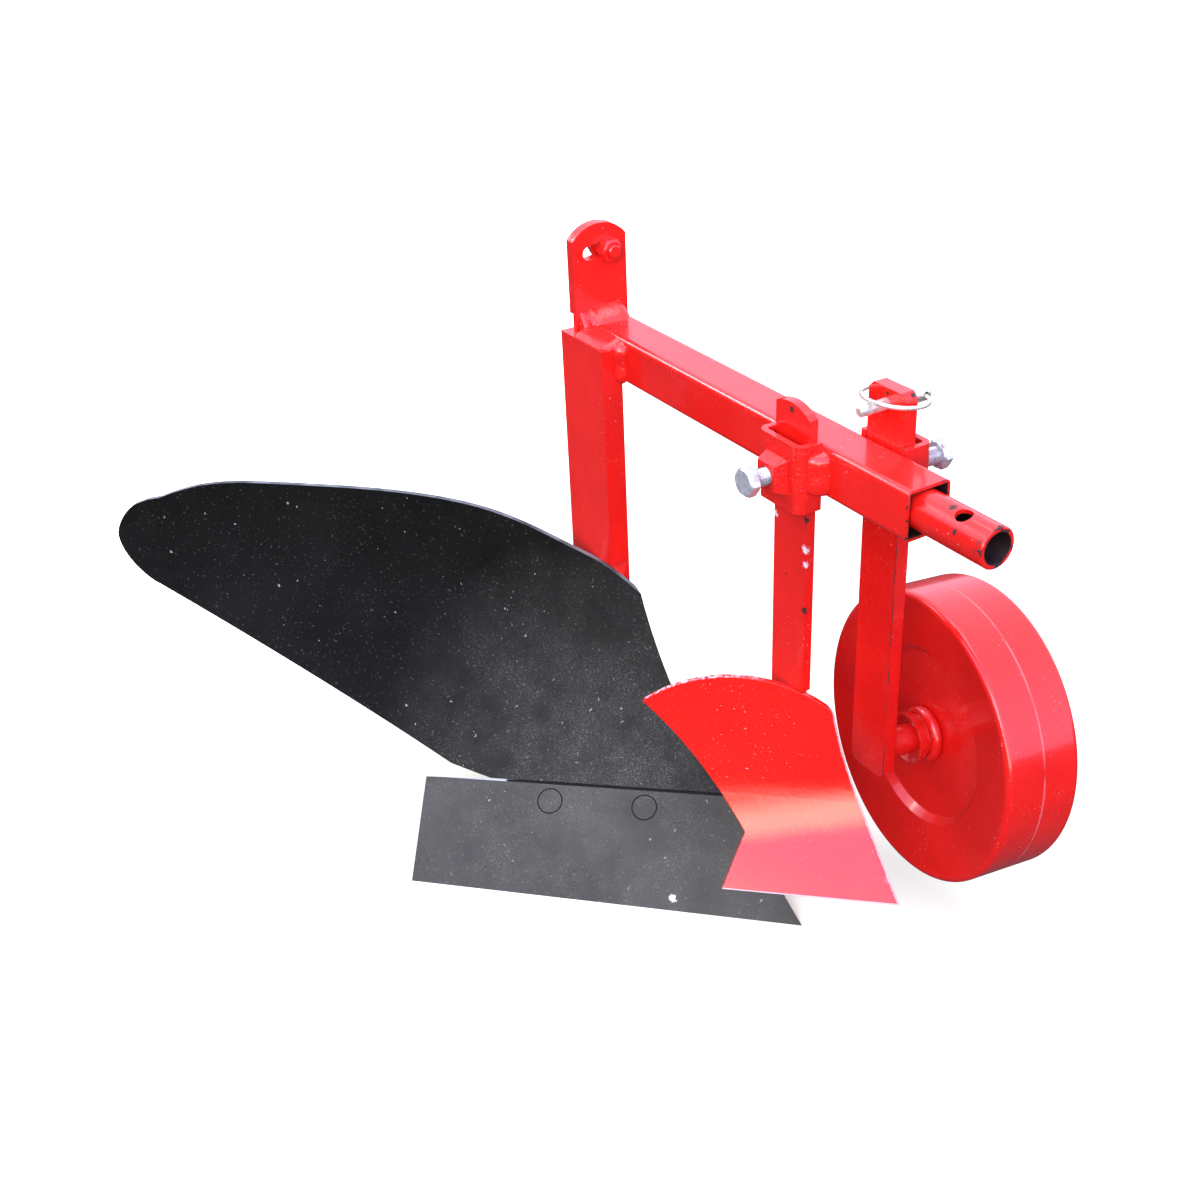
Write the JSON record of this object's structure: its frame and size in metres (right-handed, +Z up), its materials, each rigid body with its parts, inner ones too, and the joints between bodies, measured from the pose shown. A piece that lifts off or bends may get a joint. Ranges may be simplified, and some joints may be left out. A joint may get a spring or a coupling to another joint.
{
  "type": "walking plow",
  "caption": "Single-furrow mouldboard plough body for a walking tractor, with tilt adjuster, clamped jointer and clamped land wheel.",
  "frame": {"origin": "centre of the cross hole for the hitch pin, on the axis of the hitch tube", "axes": "+X forward along the beam to the hitch, +Y to the land side (left), +Z up; the share edge is level"},
  "size_m": [0.7979, 0.5496, 0.5517],
  "materials": {
    "red_paint": "glossy red enamel, thick and slightly uneven",
    "board_black": "dull black with dust",
    "share_steel": "dull grey scale",
    "zinc": "bright zinc",
    "zinc_yellow": "yellow passivated zinc",
    "bush": "plain bronze"
  },
  "bodies": {
    "frame": {"beam_tube": "red_paint", "standard_post": "red_paint", "tilt_plate": "red_paint", "share": "share_steel", "share_carrier": "red_paint", "share_bolt_inner": "share_steel", "share_bolt_outer": "share_steel", "share_nut_inner": "zinc", "share_nut_outer": "zinc", "mouldboard": "board_black", "mouldboard_stay": "red_paint", "frog_plate": "red_paint", "landside_plate": "share_steel", "landside_bolt_front": "share_steel", "landside_bolt_rear": "share_steel", "landside_nut_front": "zinc", "landside_nut_rear": "zinc", "skimmer_bracket": "red_paint", "skimmer_bracket_boss": "red_paint", "wheel_bracket": "red_paint", "wheel_bracket_boss": "red_paint"},
    "hitch": {"hitch_tube": "red_paint", "tilt_arm": "red_paint", "tilt_bolt": "red_paint", "tilt_nut": "red_paint"},
    "jointer": {"skimmer_post": "red_paint", "skimmer_gusset": "red_paint", "skimmer_blade": "red_paint"},
    "jointer_clamp": {"skimmer_clamp_bolt": "zinc"},
    "wheel_leg": {"wheel_post": "red_paint", "wheel_axle": "red_paint", "axle_cup": "red_paint", "axle_spacer": "red_paint", "axle_end_washer": "zinc", "axle_split_pin": "zinc", "lynch_pin": "zinc_yellow"},
    "lynch_ring": {"lynch_ring": "zinc_yellow"},
    "wheel_clamp": {"wheel_clamp_bolt": "zinc"},
    "wheel": {"wheel_shell_near": "red_paint", "wheel_shell_far": "red_paint", "wheel_hub": "red_paint", "hub_bush_near": "bush", "hub_bush_far": "bush", "hub_collar_near": "red_paint", "hub_collar_far": "red_paint"}
  },
  "joints": [
    {"name": "tilt", "type": "hinge", "parent": "frame", "child": "hitch", "pos_m": [0, 0, 0], "axis": [1, 0, 0], "range_deg": [-2.5, 12.7]},
    {"name": "jointer_height", "type": "slide", "parent": "frame", "child": "jointer", "axis": [0, 0, 1], "range_m": [-0.03, 0.1]},
    {"name": "wheel_height", "type": "slide", "parent": "frame", "child": "wheel_leg", "axis": [0, 0, 1], "range_m": [-0.014, 0.09]},
    {"name": "wheel_spin", "type": "hinge", "parent": "wheel_leg", "child": "wheel", "pos_m": [-0.1132, 0.07185, -0.2644], "axis": [0.12, 0.9915, -0.0506], "continuous": true},
    {"name": "lynch_ring_swing", "type": "hinge", "parent": "wheel_leg", "child": "lynch_ring", "pos_m": [-0.112, 0.0535, 0.0515], "axis": [-1, 0, 0], "range_deg": [0, 100]},
    {"name": "jointer_clamp_screw", "type": "slide", "parent": "frame", "child": "jointer_clamp", "axis": [0, -1, 0], "range_m": [0, 0.012]},
    {"name": "wheel_clamp_screw", "type": "slide", "parent": "frame", "child": "wheel_clamp", "axis": [0, 1, 0], "range_m": [0, 0.012]}
  ]
}
